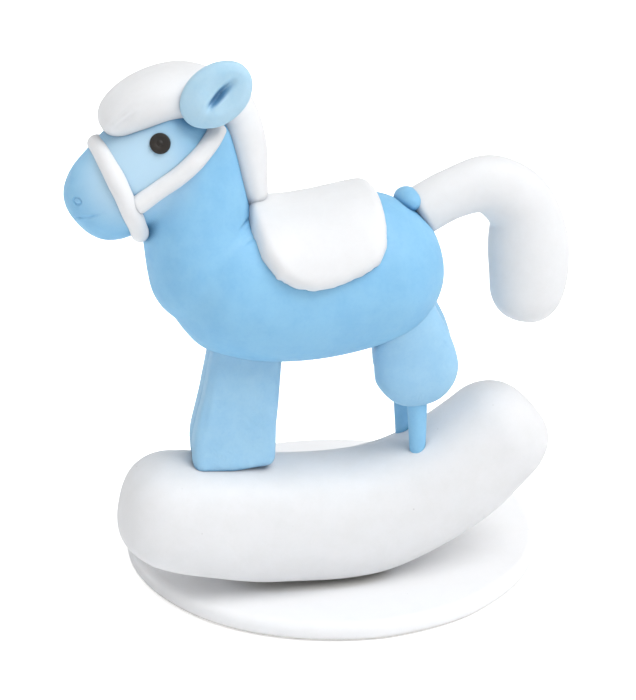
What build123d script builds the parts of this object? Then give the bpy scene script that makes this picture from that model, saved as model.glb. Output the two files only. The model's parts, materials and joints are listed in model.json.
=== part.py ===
from build123d import *
import math
import os

# A rocking-horse figurine, modelled by hand in soft clay, on a round clay base disc.
# Millimetres, +Z up. The origin is the centre of the disc's underside.
# The horse looks toward -X. Its near side faces -Y and its far side faces +Y.
# Each roll of clay is given as stations from tip to tip: (x, y, z, half height, half width).

# ---- base disc ----
disc_radius = 23.5
disc_thickness = 2.2
disc_top_rounding = 1.0
disc_bottom_rounding = 0.6

# ---- the horse's place on the disc ----
horse_y = -11.5         # the horse's middle plane

# ---- rocker: a fat clay sausage with a flattened sole ----
sole_radius = 33.0      # the arc that the horse rocks on
sole_gap = 0.12         # air between the sole and the disc
rock_centre_x = -5.2    # under the horse's centre of mass, so it comes to rest level
rock_centre_z = disc_thickness + sole_radius
rocker_squareness = 2.5

# ---- face ----
eye_radius = 0.97
eye_length = 1.2
eye_edge = 0.3
eye_place = (-20.7, -4.7, 50.5)
nostril_radius = 0.32
mouth_radius = 0.2
rope_radius = 0.85      # the white ropes of the bridle
noseband_radius = 5.0
noseband_lean = 70      # degrees that the noseband's ring leans

# ---- ears ----
ear_half_length = 3.8
ear_half_width = 2.8
ear_half_thickness = 1.2
ear_rise = 36           # degrees that the ear's long axis rises toward the tail
ear_place = (-15.5, -5.5, 54.8)

# ---- legs ----
leg_inner_gap = 0.1     # from the middle plane to a leg's inner face
front_leg_thickness = 2.7
front_leg_outer_rounding = 1.0
front_leg_inner_rounding = 0.4
front_leg_corner = 1.6
hind_leg_half_thickness = 2.3
peg_top_radius = 0.9
peg_foot_radius = 0.5

# ---- saddle ----
saddle_thickness = 1.5
saddle_corner = 2.6

# ---- wires hidden inside ----
wire_radius = 0.5

# ---- how a roll is drawn ----
oval_points = 12        # points around each slice
roll_slices = 15        # slices along a roll
tip_angle = 0.07        # radians, how near a roll's first slice is to its tip


def oval(half_width, half_height, squareness):
    """A closed oval: a squareness of 2 is an ellipse, and more is nearer a rounded box."""
    power = 2 / squareness
    points = []
    for i in range(oval_points):
        angle = 2 * math.pi * i / oval_points - math.pi / 2
        c = math.cos(angle)
        s = math.sin(angle)
        across = half_width * math.copysign(abs(c) ** power, c)
        up = half_height * math.copysign(abs(s) ** power, s)
        points.append((across, up))
    return make_face(Spline(*points, periodic=True))


def station_at(stations, t):
    """The five numbers of a roll at t, from 0 to 1, on a smooth curve through its stations."""
    last = len(stations) - 1
    i = min(int(t * last), last - 1)
    u = t * last - i
    before = stations[max(i - 1, 0)]
    start = stations[i]
    end = stations[i + 1]
    after = stations[min(i + 2, last)]
    numbers = []
    for a, b, c, d in zip(before, start, end, after):
        leaving = (c - a) / 2
        arriving = (d - b) / 2
        near_start = (1 + 2 * u) * (1 - u) ** 2 * b + u * (1 - u) ** 2 * leaving
        near_end = u * u * (3 - 2 * u) * c + u * u * (u - 1) * arriving
        numbers.append(near_start + near_end)
    return numbers


def roll_length(stations):
    """The length of a roll, along straight lines from station to station."""
    points = [Vector(*station[:3]) for station in stations]
    return sum((b - a).length for a, b in zip(points, points[1:]))


def rounding(distance, cap):
    """How much of its full size a roll has at a distance from its tip."""
    if distance >= cap:
        return 1.0
    return math.sqrt(1 - (1 - distance / cap) ** 2)


def clay_roll(stations, squareness=2.0, start_cap=None, end_cap=None):
    """A roll of clay with rounded ends. A cap is how long the rounding of an end is."""
    length = roll_length(stations)
    start_cap = start_cap or min(stations[0][3:])
    end_cap = end_cap or min(stations[-1][3:])
    nudge = 0.001
    slices = []
    for i in range(roll_slices):
        angle = tip_angle + (math.pi - 2 * tip_angle) * i / (roll_slices - 1)
        t = (1 - math.cos(angle)) / 2
        x, y, z, half_height, half_width = station_at(stations, t)
        ahead = Vector(*station_at(stations, min(t + nudge, 1.0))[:3])
        behind = Vector(*station_at(stations, max(t - nudge, 0.0))[:3])
        way = (ahead - behind).normalized()
        across = Vector(0, 1, 0)
        across = across - way * across.dot(way)
        size = rounding(t * length, start_cap) * rounding((1 - t) * length, end_cap)
        plane = Plane(origin=(x, y, z), x_dir=across, z_dir=way)
        slices.append(plane * oval(half_width * size, half_height * size, squareness))
    return loft(slices)


def wire(start, end):
    """A straight wire between two points."""
    run = Vector(*end) - Vector(*start)
    rod = Cylinder(wire_radius, run.length, align=(Align.CENTER, Align.CENTER, Align.MIN))
    return Plane(origin=start, z_dir=run) * rod


def egg(centre, half_sizes):
    """An egg-shaped lump with its own half size along each axis."""
    return Pos(*centre) * scale(Sphere(1), by=half_sizes)


def far_side(shape):
    """The mirror image on the horse's other side."""
    return mirror(shape, about=Plane.XZ)


def cut(shape, *tools):
    """The shape with every tool's volume taken away."""
    for tool in tools:
        shape = shape - tool
    return shape


def pair(name, near_shape, *tools):
    """A piece on both sides of the horse, each cut by its neighbours."""
    return {
        "near_" + name: cut(near_shape, *tools),
        "far_" + name: cut(far_side(near_shape), *tools),
    }


# ---- base disc ----

def make_base_disc():
    disc = Cylinder(disc_radius, disc_thickness, align=(Align.CENTER, Align.CENTER, Align.MIN))
    disc = fillet(disc.edges().sort_by(Axis.Z)[-1], disc_top_rounding)
    return fillet(disc.edges().sort_by(Axis.Z)[0], disc_bottom_rounding)


# ---- rocker ----

def make_rocker():
    stations = [
        (-25.4, 0, 12.7, 5.1, 5.3),
        (-19.2, 0, 11.2, 6, 5.9),
        (-12.5, 0, 9.8, 6.5, 6),
        (-5.8, 0, 9, 6.6, 6),
        (0.9, 0, 9, 6.5, 6),
        (7.5, 0, 11, 6.2, 6),
        (13.2, 0, 14.7, 5.8, 5.8),
        (18.9, 0, 19.5, 5, 5.3),
    ]
    sausage = clay_roll(stations, rocker_squareness, start_cap=4.8, end_cap=4.8)
    rolling_arc = Cylinder(sole_radius - sole_gap, disc_radius, rotation=(90, 0, 0))
    return sausage & (Pos(rock_centre_x, 0, rock_centre_z) * rolling_arc)


# ---- the blue lump: torso, neck and head in one ----

def make_torso(swell=0.0):
    stations = [
        (-20.3, 0, 36.5, 5.4, 5.5),
        (-16.4, 0, 35.8, 6.8, 6.9),
        (-12.2, 0, 35.2, 7.4, 7.6),
        (-8.1, 0, 34.7, 7.6, 7.8),
        (-4, 0, 34.9, 7.7, 7.8),
        (0.1, 0, 35.6, 7.7, 7.7),
        (4.1, 0, 36.4, 7.4, 7.3),
        (7.9, 0, 37.2, 6.4, 6.3),
    ]
    stations = [(x, y, z, high + swell, wide + swell) for x, y, z, high, wide in stations]
    return clay_roll(stations, start_cap=6.0, end_cap=6.6)


def make_neck():
    stations = [
        (-13.7, 0, 32.3, 6.2, 6.1),
        (-15.2, 0, 36.6, 6.2, 6.1),
        (-16.4, 0, 40.5, 5.5, 5.4),
        (-16.8, 0, 44.5, 5, 4.9),
        (-17.3, 0, 48.4, 4.6, 4.6),
        (-18, 0, 52.3, 4.1, 4.4),
    ]
    return clay_roll(stations, start_cap=5.0, end_cap=3.0)


def make_head():
    stations = [
        (-14.8, 0, 51.7, 4.6, 4.6),
        (-18.3, 0, 49.7, 5.1, 5.1),
        (-21.7, 0, 47.3, 4.9, 5),
        (-24.9, 0, 44.9, 4.4, 4.7),
        (-27.9, 0, 42.4, 4.1, 4.4),
    ]
    return clay_roll(stations, start_cap=4.2, end_cap=4.3)


def make_mouth():
    """The line pressed into the near side of the muzzle."""
    stations = [
        (-28.9, -0.6, 43.0, mouth_radius, mouth_radius),
        (-28.1, -2.9, 43.5, mouth_radius, mouth_radius),
        (-27.0, -4.0, 44.0, mouth_radius, mouth_radius),
        (-25.6, -4.5, 44.6, mouth_radius, mouth_radius),
    ]
    return clay_roll(stations)


def make_nostril():
    return Pos(-28.0, -2.8, 45.1) * Rot(0, 0, -40) * Cylinder(nostril_radius, 1.8, rotation=(90, 0, 0))


def make_near_eye():
    button = Cylinder(eye_radius, eye_length, rotation=(90, 0, 0))
    button = fillet(button.edges().sort_by(Axis.Y)[0], eye_edge)
    return Pos(*eye_place) * button


# ---- mane, forelock and ears ----

def make_forelock():
    stations = [
        (-25.3, 0, 51.2, 1.4, 2.8),
        (-22.4, 0, 52.8, 2.4, 4.6),
        (-19.2, 0, 53.9, 2.9, 5.1),
        (-16.3, 0, 53.9, 2.8, 5),
        (-13.5, 0, 52.7, 2.2, 3.9),
    ]
    return clay_roll(stations, start_cap=1.8, end_cap=3.0)


def make_neck_mane():
    stations = [
        (-14.9, 0, 55.1, 1.5, 2.2),
        (-12.9, 0, 52.6, 2, 2.4),
        (-11.9, 0, 49.5, 2.1, 2.5),
        (-11.5, 0, 46.4, 1.8, 2.3),
        (-10.9, 0, 43, 1.3, 1.9),
    ]
    return clay_roll(stations, start_cap=1.8, end_cap=1.6)


def make_near_ear():
    petal = scale(Sphere(1), by=(ear_half_length, ear_half_thickness, ear_half_width))
    dish = egg((0.5, -1.6, -0.2), (2.6, 0.9, 1.7))
    slit = egg((0.3, -0.9, -0.2), (2.3, 0.75, 0.22))
    return Pos(*ear_place) * Rot(0, -ear_rise, 0) * cut(petal, dish, slit)


# ---- bridle ----

def make_noseband():
    return Pos(-24.1, 0, 45.8) * Rot(0, noseband_lean, 0) * Torus(noseband_radius, rope_radius)


def make_near_strap():
    stations = [
        (-22.6, -4.7, 45.4, rope_radius, rope_radius),
        (-19.6, -5.2, 47.2, rope_radius, rope_radius),
        (-17.4, -5.2, 48.9, rope_radius, rope_radius),
        (-15.2, -4.4, 50.9, rope_radius, rope_radius),
    ]
    return clay_roll(stations)


# ---- saddle ----

def make_saddle():
    corners = [
        (-12.2, 48.0),
        (-12.2, 40.0),
        (-9.8, 36.8),
        (-6.0, 36.1),
        (-0.6, 37.9),
        (0.8, 41.5),
        (1.4, 48.0),
    ]
    outline = FilletPolyline(*corners, radius=saddle_corner, close=True)
    flap = extrude(Plane.XZ * make_face(outline), 12, both=True)
    return make_torso(saddle_thickness) & flap


# ---- tail ----

def make_tail():
    stations = [
        (6.5, 0, 41, 2.1, 2),
        (9.7, 0, 42.8, 2.6, 2.3),
        (13.1, 0, 43.5, 3, 2.6),
        (16.6, 0, 41.1, 3.6, 2.9),
        (17.8, 0, 36.9, 4.3, 3.1),
        (17.9, 0, 32.7, 4.1, 3.1),
        (17, 0, 28.8, 3.3, 2.7),
    ]
    return clay_roll(stations, start_cap=1.2, end_cap=3.2)


def make_tail_collar():
    return egg((6.3, 0, 42.0), (1.6, 2.6, 1.5))


# ---- legs ----

def make_near_front_leg():
    corners = [(-15.7, 32.0), (-8.9, 30.8), (-9.9, 15.4), (-18.3, 15.8)]
    outline = FilletPolyline(*corners, radius=front_leg_corner, close=True)
    slab = extrude(Plane.XZ * make_face(outline), front_leg_thickness)
    slab = fillet(slab.faces().sort_by(Axis.Y)[0].edges(), front_leg_outer_rounding)
    slab = fillet(slab.faces().sort_by(Axis.Y)[-1].edges(), front_leg_inner_rounding)
    return Pos(0, -leg_inner_gap, 0) * slab


def make_near_hind_leg():
    side = -(leg_inner_gap + hind_leg_half_thickness)
    thick = hind_leg_half_thickness
    stations = [
        (3.2, side, 34.8, 2.4, 0.9 * thick),
        (3.9, side, 31.5, 3.1, thick),
        (4.6, side, 28.1, 4.0, thick),
        (5.2, side, 24.6, 4.4, thick),
        (5.4, side, 21.4, 3.8, 0.9 * thick),
    ]
    return clay_roll(stations, start_cap=2.0, end_cap=4.2)


def make_near_hind_peg():
    side = -(leg_inner_gap + hind_leg_half_thickness)
    return Pos(5.5, side, 19.7) * Cone(peg_foot_radius, peg_top_radius, 6.0)


# ---- wires hidden inside ----

def make_leg_wires():
    front = -(leg_inner_gap + front_leg_thickness / 2)
    hind = -(leg_inner_gap + hind_leg_half_thickness)
    near_front = wire((-14.0, front, 11.5), (-12.4, front, 33.5))
    near_hind = wire((5.6, hind, 14.0), (4.6, hind, 35.0))
    return {
        "near_front_leg_wire": near_front,
        "far_front_leg_wire": far_side(near_front),
        "near_hind_leg_wire": near_hind,
        "far_hind_leg_wire": far_side(near_hind),
    }


def make_horse():
    """Every piece of the horse, pressed together so that neighbours meet face to face."""
    wires = make_leg_wires()
    wires["neck_wire"] = wire((-13.8, 0, 35.5), (-18.8, 0, 49.0))
    wires["tail_wire"] = wire((2.0, 0, 38.8), (12.0, 0, 43.2))
    rods = list(wires.values())

    near_eye = make_near_eye()
    eyes = {"near_eye": near_eye, "far_eye": far_side(near_eye)}
    face_marks = [make_mouth(), make_nostril()]
    face_marks += [far_side(mark) for mark in face_marks]
    lump = make_torso() + make_neck() + make_head()
    rocker = make_rocker()

    forelock = cut(make_forelock(), lump, *eyes.values())
    neck_mane = cut(make_neck_mane(), lump, forelock)
    noseband = cut(make_noseband(), lump, forelock)
    ears = pair("ear", make_near_ear(), lump, forelock, neck_mane)
    straps = pair(
        "cheek_strap", make_near_strap(), lump, noseband, forelock, neck_mane, *ears.values()
    )
    tail_collar = cut(make_tail_collar(), lump, *rods)
    front_legs = pair("front_leg", make_near_front_leg(), lump, rocker, *rods)
    hind_legs = pair("hind_leg", make_near_hind_leg(), lump, rocker, *rods)
    pegs = pair("hind_peg", make_near_hind_peg(), rocker, *hind_legs.values(), *rods)

    pieces = {
        "rocker": cut(rocker, *rods),
        "body": cut(lump, *eyes.values(), *face_marks, *rods),
        "forelock": forelock,
        "neck_mane": neck_mane,
        "noseband": noseband,
        "saddle": cut(make_saddle(), lump, neck_mane),
        "tail_collar": tail_collar,
        "tail": cut(make_tail(), lump, tail_collar, *rods),
    }
    for group in (eyes, ears, straps, front_legs, hind_legs, pegs):
        pieces.update(group)
    pieces.update(wires)
    return {name: Pos(0, horse_y, 0) * shape for name, shape in pieces.items()}


def main():
    os.makedirs("parts", exist_ok=True)
    pieces = {"base_disc": make_base_disc()}
    pieces.update(make_horse())
    for name, shape in pieces.items():
        export_step(shape, "parts/" + name + ".step")


main()
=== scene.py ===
import bpy
import bmesh
import json
import math
from mathutils import Matrix, Vector, noise
from mathutils.bvhtree import BVHTree


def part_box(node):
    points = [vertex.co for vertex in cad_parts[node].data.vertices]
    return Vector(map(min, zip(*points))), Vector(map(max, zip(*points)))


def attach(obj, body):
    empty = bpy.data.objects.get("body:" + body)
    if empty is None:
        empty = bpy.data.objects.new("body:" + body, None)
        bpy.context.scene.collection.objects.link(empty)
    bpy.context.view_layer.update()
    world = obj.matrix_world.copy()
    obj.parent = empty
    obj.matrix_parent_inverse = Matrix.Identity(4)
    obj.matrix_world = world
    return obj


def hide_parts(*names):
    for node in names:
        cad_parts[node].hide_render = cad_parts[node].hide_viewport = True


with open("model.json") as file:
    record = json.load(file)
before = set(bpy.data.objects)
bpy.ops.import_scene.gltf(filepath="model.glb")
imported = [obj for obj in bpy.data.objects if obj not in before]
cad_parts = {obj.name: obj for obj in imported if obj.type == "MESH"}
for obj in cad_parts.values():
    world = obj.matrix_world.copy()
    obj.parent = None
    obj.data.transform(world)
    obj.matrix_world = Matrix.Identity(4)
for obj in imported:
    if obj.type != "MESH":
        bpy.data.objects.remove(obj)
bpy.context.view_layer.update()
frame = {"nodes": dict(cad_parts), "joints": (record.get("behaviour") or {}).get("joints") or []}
mm = 0.001

# the horse's middle plane, the disc's top and the centre that the horse rocks about, from the frame
horseY = (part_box("body")[0].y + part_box("body")[1].y) / 2
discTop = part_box("base_disc")[1].z
rockJoint = [joint for joint in frame["joints"] if joint["name"] == "rock"][0]
rockCentre = Vector(rockJoint["pos_m"])


# the camera and the light

view = {
    "azimuth": 15,        # degrees, the camera is this far round toward the head
    "elevation": 20.2,
    "distance": 0.150,
    "lookAt": (-0.00354, -0.0075, 0.02596),
    "clipStart": 0.005,
    "lens": 73.9,
    "sensor": 36,
}


def makeCamera():
    azimuth = math.radians(view["azimuth"])
    elevation = math.radians(view["elevation"])
    forward = Vector((
        math.sin(azimuth) * math.cos(elevation),
        math.cos(azimuth) * math.cos(elevation),
        -math.sin(elevation),
    ))
    target = Vector(view["lookAt"])
    data = bpy.data.cameras.new("camera")
    data.lens = view["lens"]
    data.sensor_width = view["sensor"]
    data.clip_start = view["clipStart"]
    camera = bpy.data.objects.new("camera", data)
    bpy.context.scene.collection.objects.link(camera)
    camera.location = target - forward * view["distance"]
    camera.rotation_euler = forward.to_track_quat("-Z", "Y").to_euler()
    bpy.context.scene.camera = camera


light = {
    "sky": 0.42,
    "key": (2.2, (0.45, -0.52, 1.0), 40),     # strength, where it comes from, softness in degrees
    "top": (0.30, (-0.25, 0.20, 1.0), 50),
}


def makeLight():
    world = bpy.data.worlds.new("studio")
    world.use_nodes = True
    sky = world.node_tree.nodes["Background"]
    sky.inputs["Color"].default_value = (1, 1, 1, 1)
    sky.inputs["Strength"].default_value = light["sky"]
    bpy.context.scene.world = world
    for name in ("key", "top"):
        strength, source, softness = light[name]
        data = bpy.data.lights.new(name, "SUN")
        data.energy = strength
        data.angle = math.radians(softness)
        lamp = bpy.data.objects.new(name, data)
        bpy.context.scene.collection.objects.link(lamp)
        lamp.rotation_euler = Vector(source).to_track_quat("Z", "Y").to_euler()
    bpy.context.scene.view_settings.view_transform = "Standard"


# rolls, presses and other ways to work a lump, shared by the pieces

def finish(bm, name, material):
    # makes the object of a finished bmesh, in the frame's own place
    bmesh.ops.remove_doubles(bm, verts=bm.verts[:], dist=1e-7)
    bmesh.ops.recalc_face_normals(bm, faces=bm.faces[:])
    mesh = bpy.data.meshes.new(name)
    bm.to_mesh(mesh)
    bm.free()
    for face in mesh.polygons:
        face.use_smooth = True
    piece = bpy.data.objects.new(name, mesh)
    bpy.context.scene.collection.objects.link(piece)
    if material:
        mesh.materials.append(material)
    return piece


def stationAt(stations, t):
    # the numbers of a roll at t, from 0 to 1, on a smooth curve through its stations
    last = len(stations) - 1
    i = min(int(t * last), last - 1)
    u = t * last - i
    before, start, end, after = (stations[max(i - 1, 0)], stations[i],
                                 stations[i + 1], stations[min(i + 2, last)])
    numbers = []
    for a, b, c, d in zip(before, start, end, after):
        leaving, arriving = (c - a) / 2, (d - b) / 2
        nearStart = (1 + 2 * u) * (1 - u) ** 2 * b + u * (1 - u) ** 2 * leaving
        nearEnd = u * u * (3 - 2 * u) * c + u * u * (u - 1) * arriving
        numbers.append(nearStart + nearEnd)
    return numbers


def tipRounding(distance, cap):
    if distance >= cap:
        return 1.0
    return math.sqrt(max(1 - (1 - distance / cap) ** 2, 0))


def ringPlaces(stations, rings, caps, tipAngle=0.05):
    # the matrix that puts a unit circle at each ring of a roll: stations are in millimetres
    points = [Vector(s[:3]) for s in stations]
    length = sum((b - a).length for a, b in zip(points, points[1:]))
    places = []
    for i in range(rings):
        angle = tipAngle + (math.pi - 2 * tipAngle) * i / (rings - 1)
        t = (1 - math.cos(angle)) / 2
        x, y, z, halfHeight, halfWidth = stationAt(stations, t)
        ahead = Vector(stationAt(stations, min(t + 0.001, 1))[:3])
        behind = Vector(stationAt(stations, max(t - 0.001, 0))[:3])
        way = (ahead - behind).normalized()
        across = Vector((0, 1, 0))
        across = (across - way * across.dot(way)).normalized()
        up = way.cross(across)
        size = tipRounding(t * length, caps[0]) * tipRounding((1 - t) * length, caps[1])
        place = Matrix.Identity(4)
        for axis, scaled in enumerate((across * halfWidth * size, up * halfHeight * size, way)):
            for row in range(3):
                place[row][axis] = scaled[row] * mm
        place.translation = Vector((x * mm, horseY + y * mm, z * mm))
        places.append(place)
    return places


def addRoll(bm, stations, rings=40, sides=40, squareness=2.0, caps=(3, 3)):
    # a clay roll: one circle, extruded from ring to ring
    circle = bmesh.ops.create_circle(bm, segments=sides, radius=1)
    ring = circle["verts"]
    for vert in ring:
        angle = math.atan2(vert.co.y, vert.co.x)
        c, s = math.cos(angle), math.sin(angle)
        vert.co.x = math.copysign(abs(c) ** (2 / squareness), c)
        vert.co.y = math.copysign(abs(s) ** (2 / squareness), s)
    places = ringPlaces(stations, rings, caps)
    bmesh.ops.transform(bm, matrix=places[0], verts=ring)
    edges = list({edge for vert in ring for edge in vert.link_edges})
    firstEdges = edges
    for before, after in zip(places, places[1:]):
        made = bmesh.ops.extrude_edge_only(bm, edges=edges)["geom"]
        ring = [part for part in made if isinstance(part, bmesh.types.BMVert)]
        edges = [part for part in made if isinstance(part, bmesh.types.BMEdge) and part.is_boundary]
        bmesh.ops.transform(bm, matrix=after @ before.inverted(), verts=ring)
    for loop in (firstEdges, edges):
        filled = bmesh.ops.edgeloop_fill(bm, edges=loop)["faces"]
        bmesh.ops.poke(bm, faces=filled)
    return bm


def applied(piece, name, material):
    # the piece with its modifiers made real
    bpy.context.view_layer.update()
    graph = bpy.context.evaluated_depsgraph_get()
    mesh = bpy.data.meshes.new_from_object(piece.evaluated_get(graph))
    bpy.data.objects.remove(piece)
    mesh.name = name
    mesh.materials.clear()
    mesh.materials.append(material)
    for face in mesh.polygons:
        face.use_smooth = True
    done = bpy.data.objects.new(name, mesh)
    bpy.context.scene.collection.objects.link(done)
    return done


def knead(piece, name, material, voxel, rounds):
    # squeezes overlapping lumps into one skin, and rubs its edges soft
    remesh = piece.modifiers.new("skin", "REMESH")
    remesh.mode = "VOXEL"
    remesh.voxel_size = voxel * mm
    rub = piece.modifiers.new("rub", "SMOOTH")
    rub.factor = 0.5
    rub.iterations = rounds
    return applied(piece, name, material)


def distanceToLine(point, line):
    # how far a point is from a line through several points, and how far along it is, from 0 to 1
    best, along = 1e9, 0
    for i in range(len(line) - 1):
        start, run = line[i], line[i + 1] - line[i]
        t = min(max((point - start).dot(run) / run.length_squared, 0), 1)
        gap = (point - (start + run * t)).length
        if gap < best:
            best, along = gap, (i + t) / (len(line) - 1)
    return best, along


def refineNear(bm, line, reach, times):
    # cuts the skin finer near a line, so that a mark pressed there is sharp
    for _ in range(times):
        near = [edge for edge in bm.edges
                if distanceToLine((edge.verts[0].co + edge.verts[1].co) / 2, line)[0] < reach]
        bmesh.ops.subdivide_edges(bm, edges=near, cuts=1, use_grid_fill=True, smooth=0.4)
    bmesh.ops.triangulate(bm, faces=[face for face in bm.faces if len(face.verts) > 4])


def pressLine(bm, line, width, depth, fade=0.25):
    # presses a tool's edge into the clay along a line, with a slight raised lip at each side
    bm.normal_update()
    moves = []
    for vert in bm.verts:
        gap, along = distanceToLine(vert.co, line)
        if gap > 4 * width:
            continue
        ends = min(1, along / fade, (1 - along) / fade) if fade else 1
        groove = math.exp(-(gap / width) ** 2) - 0.22 * math.exp(-((gap - 1.9 * width) / width) ** 2)
        moves.append((vert, vert.normal * (-depth * ends * groove)))
    for vert, move in moves:
        vert.co += move


def dent(bm, amount, size, seed):
    # the soft unevenness that fingers leave: amount and size in millimetres
    bm.normal_update()
    shift = Vector((seed * 7.3, seed * 3.1, seed * 5.7))
    for vert in bm.verts:
        vert.co += vert.normal * (noise.noise(vert.co / (size * mm) + shift) * amount * mm)


def edit(piece):
    bm = bmesh.new()
    bm.from_mesh(piece.data)
    return bm


def putBack(bm, piece):
    bm.to_mesh(piece.data)
    bm.free()
    piece.data.update()
    for face in piece.data.polygons:
        face.use_smooth = True
    return piece


def treeOf(*pieces):
    # a search tree of the shapes of pieces
    bm = bmesh.new()
    for piece in pieces:
        bm.from_mesh(piece.data)
    tree = BVHTree.FromBMesh(bm)
    bm.free()
    return tree


def skinPoint(tree, x, z, lift, side=-1):
    # a point over the near (-1) or far (+1) flank at x and z, lifted off the skin: millimetres
    start = Vector((x * mm, horseY + side * 0.03, z * mm))
    hit, normal, _, _ = tree.ray_cast(start, Vector((0, -side, 0)))
    if hit is None:
        return Vector((x * mm, horseY, z * mm))
    return hit + normal * lift * mm


def inHorse(x, y, z):
    return Vector((x * mm, horseY + y * mm, z * mm))


def done(piece, body, slot, *nodes):
    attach(piece, body)
    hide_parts(*nodes)
    print("made", piece.name, len(piece.data.polygons), "faces")
    return piece


# the clay materials

def newGroup(name, inputs, outputs):
    group = bpy.data.node_groups.new(name, "ShaderNodeTree")
    for socket, kind, value in inputs:
        made = group.interface.new_socket(socket, in_out="INPUT", socket_type=kind)
        if value is not None:
            made.default_value = value
    for socket, kind in outputs:
        group.interface.new_socket(socket, in_out="OUTPUT", socket_type=kind)
    return group, group.nodes.new("NodeGroupInput"), group.nodes.new("NodeGroupOutput")


def mathNode(tree, operation, a, b=None):
    node = tree.nodes.new("ShaderNodeMath")
    node.operation = operation
    for socket, value in zip(node.inputs, (a, b)):
        if value is None:
            continue
        if isinstance(value, (int, float)):
            socket.default_value = value
        else:
            tree.links.new(value, socket)
    return node.outputs[0]


def noiseNode(tree, coordinates, scale, detail=2.0, roughness=0.5):
    node = tree.nodes.new("ShaderNodeTexNoise")
    node.inputs["Scale"].default_value = scale
    node.inputs["Detail"].default_value = detail
    node.inputs["Roughness"].default_value = roughness
    tree.links.new(coordinates, node.inputs["Vector"])
    return node.outputs["Fac"]


def rangeNode(tree, value, low, high, toLow=0.0, toHigh=1.0):
    node = tree.nodes.new("ShaderNodeMapRange")
    node.interpolation_type = "SMOOTHSTEP"
    tree.links.new(value, node.inputs["Value"])
    node.inputs["From Min"].default_value = low
    node.inputs["From Max"].default_value = high
    node.inputs["To Min"].default_value = toLow
    node.inputs["To Max"].default_value = toHigh
    return node.outputs["Result"]


def makeFingerprintGroup():
    # ridges of skin, pressed into the clay in patches: coordinates are in millimetres
    group, given, out = newGroup(
        "fingerprints",
        [("Coordinates", "NodeSocketVector", None), ("Amount", "NodeSocketFloat", 0.5)],
        [("Height", "NodeSocketFloat")],
    )
    where = given.outputs["Coordinates"]
    wave = group.nodes.new("ShaderNodeTexWave")
    wave.wave_type = "BANDS"
    wave.bands_direction = "DIAGONAL"
    wave.inputs["Scale"].default_value = 0.40        # a ridge every 0.47 mm
    wave.inputs["Distortion"].default_value = 7.0
    wave.inputs["Detail"].default_value = 1.0
    wave.inputs["Detail Scale"].default_value = 0.35
    group.links.new(where, wave.inputs["Vector"])
    patches = rangeNode(group, noiseNode(group, where, 0.22, 1.0), 0.48, 0.62)
    broken = rangeNode(group, noiseNode(group, where, 1.6, 3.0), 0.35, 0.6)
    ridges = mathNode(group, "MULTIPLY", wave.outputs["Fac"], patches)
    ridges = mathNode(group, "MULTIPLY", ridges, broken)
    ridges = mathNode(group, "MULTIPLY", ridges, given.outputs["Amount"])
    group.links.new(ridges, out.inputs["Height"])
    return group


# the middle of the near cheek, in millimetres, where the skin is palest
paleSpot = (-23.3, -17.0, 48.6)


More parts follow.
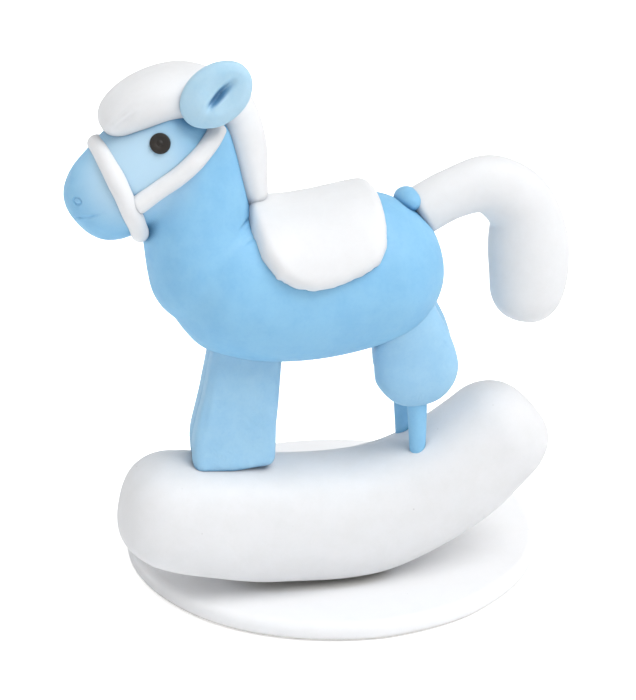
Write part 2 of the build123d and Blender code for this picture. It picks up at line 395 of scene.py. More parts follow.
def makeClayGroup():
    # the skin of hand-rolled clay: soft dents, fine grain, lint and pits, with painted shade darkening its
    # creases
    group, given, out = newGroup(
        "claySkin",
        [
            ("Coordinates", "NodeSocketVector", None),
            ("Colour", "NodeSocketColor", None),
            ("Deep Colour", "NodeSocketColor", None),
            ("Painted Crevice Shade", "NodeSocketColor", None),
            ("Pale Colour", "NodeSocketColor", None),
            ("Paleness", "NodeSocketFloat", 0.0),
            ("Mottle", "NodeSocketFloat", 0.5),
            ("Grain", "NodeSocketFloat", 0.5),
            ("Lint", "NodeSocketFloat", 0.5),
        ],
        [("Colour", "NodeSocketColor"), ("Roughness", "NodeSocketFloat"), ("Height", "NodeSocketFloat")],
    )
    where = given.outputs["Coordinates"]
    clouds = rangeNode(group, noiseNode(group, where, 0.35, 4.0, 0.6), 0.35, 0.68)
    speckle = rangeNode(group, noiseNode(group, where, 3.2, 3.0, 0.65), 0.42, 0.75)
    depth = mathNode(group, "ADD", mathNode(group, "MULTIPLY", clouds, 0.7),
                     mathNode(group, "MULTIPLY", speckle, 0.3))
    depth = mathNode(group, "MULTIPLY", depth, given.outputs["Mottle"])
    mix = group.nodes.new("ShaderNodeMix")
    mix.data_type = "RGBA"
    group.links.new(depth, mix.inputs["Factor"])
    group.links.new(given.outputs["Colour"], mix.inputs["A"])
    group.links.new(given.outputs["Deep Colour"], mix.inputs["B"])
    # lint and dust pressed into the skin: short dark threads and dots
    dust = group.nodes.new("ShaderNodeTexVoronoi")
    dust.inputs["Scale"].default_value = 0.55
    group.links.new(where, dust.inputs["Vector"])
    dots = rangeNode(group, dust.outputs["Distance"], 0.02, 0.075, 1.0, 0.0)
    rare = rangeNode(group, noiseNode(group, where, 0.5, 0.0), 0.56, 0.6)
    dots = mathNode(group, "MULTIPLY", mathNode(group, "MULTIPLY", dots, rare), given.outputs["Lint"])
    speck = group.nodes.new("ShaderNodeMix")
    speck.data_type = "RGBA"
    speck.inputs["B"].default_value = (0.32, 0.31, 0.30, 1)
    group.links.new(dots, speck.inputs["Factor"])
    group.links.new(mix.outputs["Result"], speck.inputs["A"])
    # a paler patch on the near cheek, fading out from 2.5 to 7.5 mm around paleSpot
    apart = group.nodes.new("ShaderNodeVectorMath")
    apart.operation = "DISTANCE"
    apart.inputs[1].default_value = paleSpot
    group.links.new(where, apart.inputs[0])
    near = rangeNode(group, apart.outputs["Value"], 2.5, 7.5, 1.0, 0.0)
    paleCheekMix = group.nodes.new("ShaderNodeMix")
    paleCheekMix.data_type = "RGBA"
    group.links.new(mathNode(group, "MULTIPLY", near, given.outputs["Paleness"]), paleCheekMix.inputs["Factor"])
    group.links.new(speck.outputs["Result"], paleCheekMix.inputs["A"])
    group.links.new(given.outputs["Pale Colour"], paleCheekMix.inputs["B"])
    # painted shade: creases and gaps between lumps are darkened toward the crevice colour by an ambient
    # occlusion mask
    crease = group.nodes.new("ShaderNodeAmbientOcclusion")
    crease.samples = 8
    crease.inputs["Distance"].default_value = 1.4 * mm
    shade = group.nodes.new("ShaderNodeMix")
    shade.data_type = "RGBA"
    group.links.new(rangeNode(group, crease.outputs["AO"], 0.25, 0.8, 0.8, 0.0), shade.inputs["Factor"])
    group.links.new(paleCheekMix.outputs["Result"], shade.inputs["A"])
    group.links.new(given.outputs["Painted Crevice Shade"], shade.inputs["B"])
    group.links.new(shade.outputs["Result"], out.inputs["Colour"])
    rough = rangeNode(group, noiseNode(group, where, 1.1, 3.0), 0.3, 0.7, 0.46, 0.60)
    group.links.new(rough, out.inputs["Roughness"])
    soft = mathNode(group, "MULTIPLY", noiseNode(group, where, 0.55, 2.0), 0.55)
    fine = mathNode(group, "MULTIPLY", noiseNode(group, where, 9.0, 3.0, 0.6), given.outputs["Grain"])
    height = mathNode(group, "ADD", soft, mathNode(group, "MULTIPLY", fine, 0.08))
    height = mathNode(group, "SUBTRACT", height, mathNode(group, "MULTIPLY", dots, 0.12))
    group.links.new(height, out.inputs["Height"])
    return group


fingerprintGroup = makeFingerprintGroup()
clayGroup = makeClayGroup()


def clayMaterial(name, look):
    material = bpy.data.materials.new(name)
    material.use_nodes = True
    tree = material.node_tree
    shader = tree.nodes["Principled BSDF"]
    place = tree.nodes.new("ShaderNodeTexCoord")
    scaled = tree.nodes.new("ShaderNodeMapping")
    scaled.inputs["Scale"].default_value = (1 / mm,) * 3
    scaled.inputs["Rotation"].default_value = look.get("turn", (0, 0, 0))
    scaled.inputs["Location"].default_value = look.get("shift", (0, 0, 0))
    tree.links.new(place.outputs["Object"], scaled.inputs["Vector"])
    skin = tree.nodes.new("ShaderNodeGroup")
    skin.node_tree = clayGroup
    skin.inputs["Colour"].default_value = (*look["colour"], 1)
    skin.inputs["Deep Colour"].default_value = (*look["deepColour"], 1)
    # painted shade: the colour that creases and gaps between lumps are darkened toward
    skin.inputs["Painted Crevice Shade"].default_value = (*look["paintedCreviceShade"], 1)
    skin.inputs["Pale Colour"].default_value = (*look.get("pale", look["colour"]), 1)
    skin.inputs["Paleness"].default_value = 1.0 if "pale" in look else 0.0
    skin.inputs["Mottle"].default_value = look["mottle"]
    skin.inputs["Grain"].default_value = look["grain"]
    skin.inputs["Lint"].default_value = look["lint"]
    prints = tree.nodes.new("ShaderNodeGroup")
    prints.node_tree = fingerprintGroup
    prints.inputs["Amount"].default_value = look["prints"]
    for node in (skin, prints):
        tree.links.new(scaled.outputs["Vector"], node.inputs["Coordinates"])
    height = mathNode(tree, "ADD", skin.outputs["Height"], prints.outputs["Height"])
    bump = tree.nodes.new("ShaderNodeBump")
    bump.inputs["Strength"].default_value = look["bump"]
    bump.inputs["Distance"].default_value = 0.1 * mm
    tree.links.new(height, bump.inputs["Height"])
    tree.links.new(bump.outputs["Normal"], shader.inputs["Normal"])
    tree.links.new(skin.outputs["Colour"], shader.inputs["Base Color"])
    tree.links.new(skin.outputs["Roughness"], shader.inputs["Roughness"])
    shader.inputs["Specular IOR Level"].default_value = look["gloss"]
    shader.inputs["Subsurface Weight"].default_value = look["depth"]
    shader.inputs["Subsurface Radius"].default_value = look["depthColour"]
    shader.inputs["Subsurface Scale"].default_value = 0.6 * mm
    return material


# each look's crevice colour is painted shade, mixed into the base colour where lumps meet
clayLooks = {
    "blue": {
        "colour": (0.265, 0.55, 0.79), "deepColour": (0.21, 0.485, 0.755), "mottle": 0.8,
        "paintedCreviceShade": (0.05, 0.20, 0.40), "pale": (0.48, 0.685, 0.84),
        "grain": 0.6, "lint": 0.0, "prints": 0.10, "bump": 0.5, "gloss": 0.35,
        "depth": 0.15, "depthColour": (0.5, 0.8, 1.0),
    },
    "blueEar": {
        "colour": (0.45, 0.66, 0.80), "deepColour": (0.36, 0.60, 0.77), "mottle": 0.8,
        "paintedCreviceShade": (0.08, 0.26, 0.48),
        "grain": 0.6, "lint": 0.0, "prints": 0.2, "bump": 0.6, "gloss": 0.35,
        "depth": 0.15, "depthColour": (0.5, 0.8, 1.0),
    },
    "blueLeg": {
        "colour": (0.34, 0.59, 0.79), "deepColour": (0.27, 0.52, 0.755), "mottle": 0.8,
        "paintedCreviceShade": (0.05, 0.20, 0.40),
        "grain": 0.6, "lint": 0.0, "prints": 0.5, "bump": 0.6, "gloss": 0.35,
        "depth": 0.15, "depthColour": (0.5, 0.8, 1.0),
    },
    "white": {
        "colour": (0.79, 0.80, 0.815), "deepColour": (0.755, 0.76, 0.77), "mottle": 0.7,
        "paintedCreviceShade": (0.50, 0.52, 0.56),
        "grain": 0.5, "lint": 0.0, "prints": 0.05, "bump": 0.4, "gloss": 0.35,
        "depth": 0.25, "depthColour": (1.0, 0.9, 0.85),
    },
    "rocker": {
        "colour": (0.765, 0.77, 0.785), "deepColour": (0.73, 0.735, 0.74), "mottle": 0.8,
        "paintedCreviceShade": (0.50, 0.52, 0.54),
        "grain": 0.6, "lint": 0.35, "prints": 0.08, "bump": 0.45, "gloss": 0.35,
        "depth": 0.25, "depthColour": (1.0, 0.9, 0.85),
    },
    "disc": {
        "colour": (0.85, 0.855, 0.87), "deepColour": (0.82, 0.825, 0.83), "mottle": 0.5,
        "paintedCreviceShade": (0.60, 0.58, 0.54),
        "grain": 0.8, "lint": 0.15, "prints": 0.0, "bump": 0.35, "gloss": 0.25,
        "depth": 0.2, "depthColour": (1.0, 0.9, 0.85),
    },
    "black": {
        "colour": (0.018, 0.015, 0.013), "deepColour": (0.030, 0.022, 0.017), "mottle": 0.8,
        "paintedCreviceShade": (0.010, 0.010, 0.010),
        "grain": 1.2, "lint": 0.0, "prints": 0.0, "bump": 0.5, "gloss": 0.4,
        "depth": 0.0, "depthColour": (1.0, 1.0, 1.0),
    },
}
clay = {name: clayMaterial(name + "Clay", look) for name, look in clayLooks.items()}


def wireMaterial():
    material = bpy.data.materials.new("drawnWire")
    material.use_nodes = True
    tree = material.node_tree
    shader = tree.nodes["Principled BSDF"]
    shader.inputs["Base Color"].default_value = (0.55, 0.55, 0.56, 1)
    shader.inputs["Metallic"].default_value = 1
    place = tree.nodes.new("ShaderNodeTexCoord")
    streaks = noiseNode(tree, place.outputs["Object"], 900, 2.0)
    tree.links.new(rangeNode(tree, streaks, 0.3, 0.7, 0.25, 0.45), shader.inputs["Roughness"])
    return material


# the blue lump: torso, neck, head and muzzle

blueLump = {
    "torso": [
        (-19.7, 0, 37.0, 5.2, 5.4), (-16.2, 0, 36.2, 6.5, 6.8), (-12.2, 0, 35.2, 7.4, 7.6),
        (-8.1, 0, 34.7, 7.6, 7.8), (-4, 0, 34.9, 7.7, 7.8), (0.1, 0, 35.6, 7.7, 7.7),
        (4.1, 0, 36.4, 7.4, 7.3), (7.9, 0, 37.2, 6.4, 6.3),
    ],
    "torsoCaps": (6.0, 6.6),
    "neck": [
        (-13.2, 0, 32.8, 6.0, 6.0), (-15.2, 0, 36.6, 6.2, 6.1), (-16.4, 0, 40.5, 5.5, 5.4),
        (-16.8, 0, 44.5, 5, 4.9), (-17.3, 0, 48.4, 4.6, 4.6), (-18, 0, 52.3, 4.1, 4.4),
    ],
    "neckCaps": (5.0, 3.0),
    "head": [
        (-14.8, 0, 51.7, 4.6, 4.6), (-18.3, 0, 49.7, 5.1, 5.1), (-21.7, 0, 47.3, 4.9, 5),
        (-24.9, 0, 44.9, 4.4, 4.7), (-27.9, 0, 42.4, 4.1, 4.4),
    ],
    "headCaps": (4.2, 4.3),
    "voxel": 0.26,
    "rubbing": 14,
    "mouth": [(-28.9, 43.3), (-28.0, 43.6), (-26.9, 44.0), (-25.6, 44.5)],
    "nostril": (-28.1, 45.2, 0.30),       # x, z and radius
    "bends": [                            # creases where the neck was bent up
        [(-13.5, 41.6), (-12.5, 42.2), (-11.5, 42.5)],
        [(-13.2, 40.5), (-12.4, 40.9), (-11.6, 41.1)],
    ],
}


def makeBody():
    bm = bmesh.new()
    for part in ("torso", "neck", "head"):
        addRoll(bm, blueLump[part], rings=48, sides=48, caps=blueLump[part + "Caps"])
    lump = finish(bm, "lump", None)
    body = knead(lump, "horseBody", clay["blue"], blueLump["voxel"], blueLump["rubbing"])
    bm = edit(body)
    dent(bm, 0.14, 7.0, 3)
    tree = treeOf(body)
    for side in (-1, 1):
        mouth = [skinPoint(tree, x, z, 0, side) for x, z in blueLump["mouth"]]
        x, z, radius = blueLump["nostril"]
        ring = [skinPoint(tree, x + radius * math.cos(a), z + radius * math.sin(a), 0, side)
                for a in [i * math.pi / 6 for i in range(13)]]
        refineNear(bm, mouth, 0.5 * mm, 2)
        refineNear(bm, ring, 0.4 * mm, 2)
        pressLine(bm, mouth, 0.11 * mm, 0.16 * mm)
        pressLine(bm, ring, 0.09 * mm, 0.12 * mm, fade=0)
        for bend in blueLump["bends"]:
            line = [skinPoint(tree, x, z, 0, side) for x, z in bend]
            refineNear(bm, line, 0.5 * mm, 1)
            pressLine(bm, line, 0.16 * mm, 0.10 * mm)
    return putBack(bm, body)


# the saddle

saddle = {
    "thickness": 1.45,
    "sink": 0.5,          # how deep its underside lies in the body
    "edge": 1.1,          # how wide the rounding of its edge is
    "outline": [
        (-12.3, 50), (-12.3, 44.0), (-12.2, 41.3), (-11.7, 39.3), (-10.6, 37.6), (-9.0, 36.6),
        (-7.0, 36.2), (-4.6, 36.5), (-2.2, 37.3), (-0.5, 38.2), (0.5, 39.7), (0.9, 41.4),
        (1.2, 44.0), (1.3, 50),
    ],
    "voxel": 0.15,
    "rubbing": 6,
}


def depthInside(x, z, outline):
    # how far a point is inside an outline: less than nothing when it is outside
    point = Vector((x, z))
    inside, nearest = False, 1e9
    for (x1, z1), (x2, z2) in zip(outline, outline[1:] + outline[:1]):
        start, run = Vector((x1, z1)), Vector((x2 - x1, z2 - z1))
        t = min(max((point - start).dot(run) / run.length_squared, 0), 1)
        nearest = min(nearest, (point - (start + run * t)).length)
        if (z1 > z) != (z2 > z) and x < x1 + (z - z1) / (z2 - z1) * (x2 - x1):
            inside = not inside
    return nearest if inside else -nearest


def makeSaddle():
    bm = bmesh.new()
    addRoll(bm, blueLump["torso"], rings=150, sides=170, caps=blueLump["torsoCaps"])
    bmesh.ops.recalc_face_normals(bm, faces=bm.faces[:])
    bm.normal_update()
    depths = {vert: depthInside(vert.co.x / mm, vert.co.z / mm, saddle["outline"]) for vert in bm.verts}
    outside = [vert for vert, depth in depths.items() if depth < -0.1]
    bmesh.ops.delete(bm, geom=outside, context="VERTS")
    outward = {vert.co.copy().freeze(): (vert.normal.copy(), depths[vert]) for vert in bm.verts}
    made = bmesh.ops.extrude_face_region(bm, geom=bm.faces[:])["geom"]
    top = {part for part in made if isinstance(part, bmesh.types.BMVert)}
    for vert in bm.verts:
        normal, depth = outward[vert.co.copy().freeze()]
        lift = -saddle["sink"]
        if vert in top:
            lift += (saddle["thickness"] + saddle["sink"]) * tipRounding(max(depth, 0), saddle["edge"])
        vert.co += normal * lift * mm
    cloth = knead(finish(bm, "slab", None), "saddleFlap", clay["white"], saddle["voxel"], saddle["rubbing"])
    bm = edit(cloth)
    dent(bm, 0.10, 5.0, 8)
    return putBack(bm, cloth)


# the mane, forelock and tail

forelock = {
    "stations": [
        (-25.3, 0, 51.2, 1.4, 2.8), (-22.4, 0, 53.0, 2.3, 4.5), (-19.2, 0, 54.2, 2.6, 4.9),
        (-16.3, 0, 54.2, 2.5, 4.8), (-13.5, 0, 52.7, 2.2, 3.9),
    ],
    "caps": (1.8, 3.0),
    "folds": [
        [(-24.9, 52.0), (-23.9, 53.0), (-22.2, 54.4)],
        [(-24.5, 51.6), (-23.6, 52.4), (-22.5, 53.4)],
    ],
}
neckMane = {
    "stations": [
        (-14.9, 0, 55.1, 1.5, 2.2), (-12.9, 0, 52.6, 2, 2.4), (-11.9, 0, 49.5, 2.1, 2.5),
        (-11.5, 0, 46.4, 1.8, 2.3), (-10.9, 0, 43, 1.3, 1.9),
    ],
    "caps": (1.8, 1.6),
}
tail = {
    "stations": [
        (5.3, 0, 40.9, 2.5, 2.4), (9.2, 0, 42.8, 2.6, 2.4), (13.1, 0, 43.5, 3, 2.6),
        (16.6, 0, 41.1, 3.6, 2.9), (17.8, 0, 36.9, 4.3, 3.1), (17.9, 0, 32.7, 4.1, 3.1),
        (17, 0, 28.8, 3.3, 2.7),
    ],
    "caps": (1.2, 3.2),
    "voxel": 0.18,
    "rubbing": 10,
}
collar = {
    "place": (4.6, 0, 42.6),
    "halfSizes": (1.3, 2.2, 1.2),
}


def makeForelock():
    bm = bmesh.new()
    addRoll(bm, forelock["stations"], rings=70, sides=72, squareness=2.3, caps=forelock["caps"])
    dent(bm, 0.10, 4.0, 5)
    cap = finish(bm, "forelockCap", clay["white"])
    tree = treeOf(cap)
    bm = edit(cap)
    for side in (-1, 1):
        for fold in forelock["folds"]:
            line = [skinPoint(tree, x, z, 0, side) for x, z in fold]
            refineNear(bm, line, 0.6 * mm, 1)
            pressLine(bm, line, 0.2 * mm, 0.10 * mm)
    return putBack(bm, cap)


def makeNeckMane():
    bm = bmesh.new()
    addRoll(bm, neckMane["stations"], rings=60, sides=48, caps=neckMane["caps"])
    dent(bm, 0.08, 3.0, 11)
    return finish(bm, "neckManeRoll", clay["white"])


def makeTail():
    bm = bmesh.new()
    addRoll(bm, tail["stations"], rings=80, sides=56, caps=tail["caps"])
    roll = finish(bm, "tailRoll", None)
    roll = knead(roll, "tailRoll", clay["white"], tail["voxel"], tail["rubbing"])
    bm = edit(roll)
    dent(bm, 0.10, 5.0, 2)
    return putBack(bm, roll)


def makeCollar():
    bm = bmesh.new()
    bmesh.ops.create_uvsphere(bm, u_segments=48, v_segments=32, radius=mm)
    bmesh.ops.scale(bm, vec=collar["halfSizes"], verts=bm.verts[:])
    bmesh.ops.translate(bm, vec=inHorse(*collar["place"]), verts=bm.verts[:])
    dent(bm, 0.06, 2.0, 61)
    return finish(bm, "tailCollar", clay["blue"])


# the ears and eyes

ear = {
    "place": (-15.5, -5.5, 54.8),
    "halfSizes": (3.6, 1.2, 2.65),
    "rise": 36,
    "yaw": -8,
    "dish": ((0.5, -0.1), (2.6, 1.7), 0.55),      # centre, half sizes and depth
    "slit": [(-2.3, -0.8), (-0.9, -0.35), (0.6, -0.05), (2.4, 0.15)],
    "slitWidth": 0.30,
    "slitDepth": 0.85,
    "farMove": (0.6, -0.3, -3.0),                 # from the near ear's mirror image
}
eye = {
    "place": (-20.6, 50.5),
    "radius": 0.95,
    "proud": 0.28,
    "edge": 0.16,
    "ringRadius": 0.30,
}


def makeEar(side, name):
    bm = bmesh.new()
    bmesh.ops.create_uvsphere(bm, u_segments=96, v_segments=64, radius=1)
    long, thick, wide = ear["halfSizes"]
    for vert in bm.verts:
        vert.co.y = math.copysign(abs(vert.co.y) ** 0.7, vert.co.y)
    bmesh.ops.scale(bm, vec=(long * mm, thick * mm, wide * mm), verts=bm.verts[:])
    slit = [Vector((x * mm, -thick * mm, z * mm)) for x, z in ear["slit"]]
    refineNear(bm, slit, 1.2 * mm, 1)
    (dishX, dishZ), (dishLong, dishWide), dishDepth = ear["dish"]
    for vert in bm.verts:
        if vert.co.y < 0:
            across = Vector(((vert.co.x / mm - dishX) / dishLong, (vert.co.z / mm - dishZ) / dishWide))
            vert.co.y += dishDepth * mm * max(1 - across.length_squared, 0) ** 1.5
    slit = [Vector((x * mm, (dishDepth - thick) * mm, z * mm)) for x, z in ear["slit"]]
    pressLine(bm, slit, ear["slitWidth"] * mm, ear["slitDepth"] * mm, fade=0.4)
    dent(bm, 0.08, 2.5, 21)
    turn = (Matrix.Rotation(math.radians(ear["yaw"]), 4, "Z")
            @ Matrix.Rotation(math.radians(-ear["rise"]), 4, "Y"))
    bmesh.ops.transform(bm, matrix=turn, verts=bm.verts[:])
    x, y, z = ear["place"]
    if side > 0:
        bmesh.ops.scale(bm, vec=(1, -1, 1), verts=bm.verts[:])
        moveX, moveY, moveZ = ear["farMove"]
        x, y, z = x + moveX, y - moveY, z + moveZ
    bmesh.ops.translate(bm, vec=inHorse(x, -y * side, z), verts=bm.verts[:])
    return finish(bm, name, clay["blueEar"])


def turned(profile, steps, place, direction, name, material):
    # spins a profile of (radius, height) about an axis: millimetres
    bm = bmesh.new()
    verts = [bm.verts.new((r * mm, 0, h * mm)) for r, h in profile]
    edges = [bm.edges.new(pair) for pair in zip(verts, verts[1:])]
    bmesh.ops.spin(bm, geom=verts + edges, cent=(0, 0, 0), axis=(0, 0, 1), angle=math.tau,
                   steps=steps, use_merge=True)
    turn = direction.to_track_quat("Z", "Y").to_matrix().to_4x4()
    bmesh.ops.transform(bm, matrix=Matrix.Translation(place) @ turn, verts=bm.verts[:])
    return finish(bm, name, material)


def makeEye(side, name, tree):
    x, z = eye["place"]
    start = inHorse(x, side * 30, z)
    hit, normal, _, _ = tree.ray_cast(start, Vector((0, -side, 0)))
    radius, proud, edge, ring = eye["radius"], eye["proud"], eye["edge"], eye["ringRadius"]
    profile = [(0, proud + 0.02), (0.6 * ring, proud + 0.02), (0.8 * ring, proud - 0.03),
               (ring, proud - 0.05), (1.2 * ring, proud - 0.02), (1.5 * ring, proud + 0.02),
               (radius - 1.6 * edge, proud + 0.01)]
    for i in range(6):
        angle = math.radians(90 - 18 * i)
        profile.append((radius - edge + edge * math.cos(angle), proud - edge + edge * math.sin(angle)))
    profile += [(radius, -0.5), (0, -0.5)]
    return turned(profile, 48, hit, normal, name, clay["black"])


# the bridle

bridle = {
    "radius": 0.88,
    "lift": 0.12,
    "topSink": 0.6,
    "bandCentre": (-24.1, 45.8),
    "bandLean": 68,
    "bandReach": 5.6,
    "strap": [(-23.2, 44.8), (-20.8, 46.4), (-19.0, 47.6), (-17.5, 48.8), (-15.8, 50.4), (-15.0, 51.3)],
}


def addRope(bm, points, radius, closed, sides=20):
    # a rope of clay through points: a circle, extruded from point to point
    count = len(points)
    places = []
    for i, point in enumerate(points):
        ahead = points[(i + 1) % count] if closed else points[min(i + 1, count - 1)]
        behind = points[i - 1] if closed else points[max(i - 1, 0)]
        way = (ahead - behind).normalized()
        turn = way.to_track_quat("Z", "Y").to_matrix().to_4x4()
        places.append(Matrix.Translation(point) @ turn)
    ring = bmesh.ops.create_circle(bm, segments=sides, radius=radius * mm)["verts"]
    bmesh.ops.transform(bm, matrix=places[0], verts=ring)
    edges = list({edge for vert in ring for edge in vert.link_edges})
    firstEdges = edges
    for before, after in zip(places, places[1:]):
        made = bmesh.ops.extrude_edge_only(bm, edges=edges)["geom"]
        ring = [part for part in made if isinstance(part, bmesh.types.BMVert)]
        edges = [part for part in made if isinstance(part, bmesh.types.BMEdge) and part.is_boundary]
        bmesh.ops.transform(bm, matrix=after @ before.inverted(), verts=ring)
    if closed:
        bmesh.ops.bridge_loops(bm, edges=firstEdges + edges)
    return bm


def makeNoseband(tree):
    centre = inHorse(bridle["bandCentre"][0], 0, bridle["bandCentre"][1])
    lean = math.radians(bridle["bandLean"])
    up = Vector((-math.cos(lean), 0, math.sin(lean)))
    points = []
    for i in range(72):
        angle = math.tau * i / 72
        outward = Vector((0, 1, 0)) * math.cos(angle) + up * math.sin(angle)
        hit = tree.ray_cast(centre, outward)[0]
        if (hit - centre).length > bridle["bandReach"] * mm:
            hit = centre + outward * bridle["bandReach"] * mm
        lift = bridle["lift"] - bridle["topSink"] * max(math.sin(angle), 0) ** 2
        points.append(hit + outward * lift * mm)
    bm = bmesh.new()
    addRope(bm, points, bridle["radius"], True)
    dent(bm, 0.07, 2.0, 31)
    return finish(bm, "nosebandRope", clay["white"])


def makeStrap(side, name, tree):
    points = [skinPoint(tree, x, z, bridle["lift"], side) for x, z in bridle["strap"]]
    stations = []
    for point in points:
        stations.append((point.x / mm, (point.y - horseY) / mm, point.z / mm,
                         bridle["radius"], bridle["radius"]))
    bm = bmesh.new()
    addRoll(bm, stations, rings=50, sides=24, caps=(0.5, 0.5))
    dent(bm, 0.07, 2.0, 33 + side)
    return finish(bm, name, clay["white"])


# the legs and the wedges under the hind legs

frontLeg = {
    "outline": [(-15.2, 31.8), (-8.6, 30.8), (-8.8, 27.0), (-9.4, 21.5), (-9.7, 16.3),
                (-14.0, 16.1), (-18.0, 16.3), (-18.1, 19.5), (-16.9, 24.0)],
    "farMove": (0.3, 0, 0),
    "thickness": 2.7,
    "innerGap": 0.1,
    "corner": 0.9,
    "voxel": 0.16,
    "rubbing": 8,
    "sideGroove": [(-15.6, 28.6), (-16.5, 25.0), (-17.4, 20.0)],
}
hindLeg = {
    "stations": [
        (3.2, -2.4, 34.8, 2.4, 2.1), (3.9, -2.4, 31.5, 3.1, 2.3), (4.6, -2.4, 28.1, 4, 2.3),
        (5.2, -2.4, 24.6, 4.4, 2.3), (5.4, -2.4, 21.4, 3.8, 2.1),
    ],
    "caps": (2.0, 4.2),
    "farMove": (1.2, 0, 0),
    "peg": [(5.2, -2.4, 22.7, 1.1, 0.9), (5.35, -2.4, 20.2, 1.0, 0.85), (5.5, -2.4, 15.4, 0.8, 0.75)],
}


def flipped(bm, side, farMove=(0, 0, 0)):
    # mirrors the near piece to the far side
    if side > 0:
        bmesh.ops.translate(bm, vec=(0, -horseY, 0), verts=bm.verts[:])
        bmesh.ops.scale(bm, vec=(1, -1, 1), verts=bm.verts[:])
        bmesh.ops.translate(bm, vec=(0, horseY, 0), verts=bm.verts[:])
        bmesh.ops.translate(bm, vec=Vector(farMove) * mm, verts=bm.verts[:])
    return bm


def makeFrontLeg(side, name):
    bm = bmesh.new()
    outer = -(frontLeg["innerGap"] + frontLeg["thickness"])
    corners = [bm.verts.new(inHorse(x, outer, z)) for x, z in frontLeg["outline"]]
    face = bm.faces.new(corners)
    made = bmesh.ops.extrude_face_region(bm, geom=[face])["geom"]
    moved = [part for part in made if isinstance(part, bmesh.types.BMVert)]
    bmesh.ops.translate(bm, vec=(0, frontLeg["thickness"] * mm, 0), verts=moved)
    bmesh.ops.recalc_face_normals(bm, faces=bm.faces[:])
    bmesh.ops.bevel(bm, geom=bm.edges[:], offset=frontLeg["corner"] * mm, affect="EDGES",
                    segments=4, profile=0.5, material=-1)
    flipped(bm, side, frontLeg["farMove"])
    slab = knead(finish(bm, "slab", None), name, clay["blueLeg"], frontLeg["voxel"], frontLeg["rubbing"])
    bm = edit(slab)
    dent(bm, 0.12, 3.5, 41 + side)
    groove = [inHorse(x, -side * outer, z) for x, z in frontLeg["sideGroove"]]
    pressLine(bm, groove, 0.3 * mm, 0.14 * mm)
    return putBack(bm, slab)


def makeHindLeg(side, name):
    bm = bmesh.new()
    addRoll(bm, hindLeg["stations"], rings=70, sides=56, squareness=2.2, caps=hindLeg["caps"])
    flipped(bm, side, hindLeg["farMove"])
    dent(bm, 0.10, 4.0, 51 + side)
    return finish(bm, name, clay["blueLeg"])


def makePeg(side, name):
    bm = bmesh.new()
    addRoll(bm, hindLeg["peg"], rings=24, sides=24, caps=(0.5, 0.3))
    flipped(bm, side)
    return finish(bm, name, clay["blue"])


# the rocker and the base disc

rocker = {
    "stations": [
        (-25.4, 0, 12.7, 5.1, 5.3), (-19.2, 0, 11.2, 6, 5.9), (-12.5, 0, 9.8, 6.5, 6),
        (-5.8, 0, 9, 6.6, 6), (0.9, 0, 9, 6.5, 6), (7.5, 0, 11, 6.2, 6),
        (13.2, 0, 14.7, 5.8, 5.8), (18.9, 0, 19.5, 5, 5.3),
    ],
    "caps": (4.8, 4.8),
    "squareness": 2.5,
    "gap": 0.12,
}
disc = {
    "edge": 0.95,
    "inset": 4.0,
    "rings": 5,
    "wave": 0.05,         # how uneven its top is, and its rim
    "rimWave": 0.25,
}


def makeRocker():
    bm = bmesh.new()
    addRoll(bm, rocker["stations"], rings=140, sides=88, squareness=rocker["squareness"],
            caps=rocker["caps"])
    dent(bm, 0.16, 6.0, 61)
    # the sole is flattened on the arc that it rocks on
    soleRadius = rockCentre.z - discTop - rocker["gap"] * mm
    for vert in bm.verts:
        out = Vector((vert.co.x - rockCentre.x, 0, vert.co.z - rockCentre.z))
        if out.length > soleRadius:
            vert.co -= out.normalized() * (out.length - soleRadius)
    return finish(bm, "rockerSausage", clay["rocker"])


def makeDisc():
    low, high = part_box("base_disc")
    radius = (high.x - low.x) / 2
    bm = bmesh.new()
    bmesh.ops.create_cone(bm, cap_ends=True, segments=160, radius1=radius, radius2=radius, depth=discTop)
    bmesh.ops.translate(bm, vec=(0, 0, discTop / 2), verts=bm.verts[:])
    rims = [edge for edge in bm.edges if abs(edge.verts[0].co.z - edge.verts[1].co.z) < 1e-6]
    bmesh.ops.bevel(bm, geom=rims, offset=disc["edge"] * mm, affect="EDGES", segments=7, profile=0.5,
                    material=-1)
    for _ in range(disc["rings"]):
        flats = [face for face in bm.faces if len(face.verts) > 20]
        bmesh.ops.inset_region(bm, faces=flats, thickness=disc["inset"] * mm)
    flats = [face for face in bm.faces if len(face.verts) > 20]
    bmesh.ops.poke(bm, faces=flats)
    for vert in bm.verts:
        amount = noise.noise(Vector((vert.co.x, vert.co.y, 0)) / (9 * mm))
        away = Vector((vert.co.x, vert.co.y, 0))
        if vert.co.z > 0.4 * discTop:
            vert.co.z += amount * disc["wave"] * mm
        if away.length > 0.9 * radius:
            paleCheekMix = abs(noise.noise(away / (14 * mm))) * disc["rimWave"] * mm
            vert.co -= away.normalized() * paleCheekMix
    return finish(bm, "baseDiscSlab", clay["disc"])


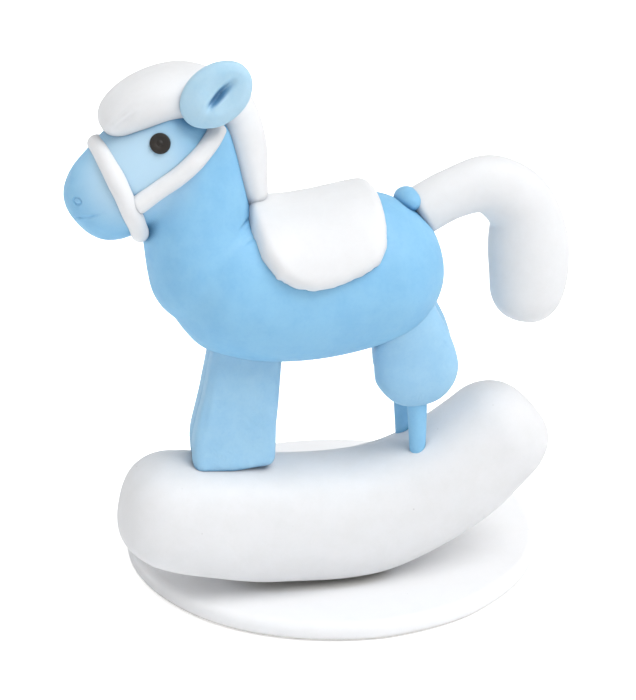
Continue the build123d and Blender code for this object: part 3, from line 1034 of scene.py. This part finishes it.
def makeAll():
    body = done(makeBody(), "horse", "blue_clay", "body")
    tree = treeOf(body)
    done(makeSaddle(), "horse", "white_clay", "saddle")
    done(makeCollar(), "horse", "blue_clay", "tail_collar")
    done(makeForelock(), "horse", "white_clay", "forelock")
    done(makeNeckMane(), "horse", "white_clay", "neck_mane")
    done(makeTail(), "horse", "white_clay", "tail")
    done(makeNoseband(tree), "horse", "white_clay", "noseband")
    for side, word in ((-1, "near"), (1, "far")):
        done(makeEar(side, word + "EarLeaf"), "horse", "blue_clay", word + "_ear")
        done(makeEye(side, word + "EyeButton", tree), "horse", "black_bead", word + "_eye")
        done(makeStrap(side, word + "CheekRope", tree), "horse", "white_clay", word + "_cheek_strap")
        done(makeFrontLeg(side, word + "FrontLegSlab"), "horse", "blue_clay", word + "_front_leg")
        done(makeHindLeg(side, word + "HindLegDrop"), "horse", "blue_clay", word + "_hind_leg")
        done(makePeg(side, word + "HindWedge"), "horse", "blue_clay", word + "_hind_peg")
    done(makeRocker(), "horse", "white_clay", "rocker")
    done(makeDisc(), "base", "base_clay", "base_disc")


backdrop = {
    "flat": 0.9,       # metres from the middle to where the paper starts to rise
    "rise": 0.45,
    "colour": (0.96, 0.96, 0.965),
    "glow": 0.6,
}


def makeFloor():
    # a round sheet of white paper that curves up all round
    bm = bmesh.new()
    profile = [(0, 0), (backdrop["flat"], 0)]
    for i in range(1, 13):
        angle = math.radians(7.5 * i)
        profile.append((backdrop["flat"] + backdrop["rise"] * math.sin(angle),
                        backdrop["rise"] * (1 - math.cos(angle))))
    verts = [bm.verts.new((r, 0, z)) for r, z in profile]
    edges = [bm.edges.new(pair) for pair in zip(verts, verts[1:])]
    bmesh.ops.spin(bm, geom=verts + edges, cent=(0, 0, 0), axis=(0, 0, 1), angle=math.tau, steps=64,
                   use_merge=True)
    material = bpy.data.materials.new("paper")
    material.use_nodes = True
    shader = material.node_tree.nodes["Principled BSDF"]
    shader.inputs["Base Color"].default_value = (*backdrop["colour"], 1)
    shader.inputs["Roughness"].default_value = 0.95
    shader.inputs["Specular IOR Level"].default_value = 0.1
    shader.inputs["Emission Color"].default_value = (1, 1, 1, 1)
    path = material.node_tree.nodes.new("ShaderNodeLightPath")
    glow = mathNode(material.node_tree, "MULTIPLY", path.outputs["Is Camera Ray"], backdrop["glow"])
    material.node_tree.links.new(glow, shader.inputs["Emission Strength"])
    finish(bm, "floor", material)


makeCamera()
makeLight()
makeAll()
wire = wireMaterial()
for name, node in frame["nodes"].items():
    if name.endswith("wire"):
        node.data.materials.clear()
        node.data.materials.append(wire)
makeFloor()
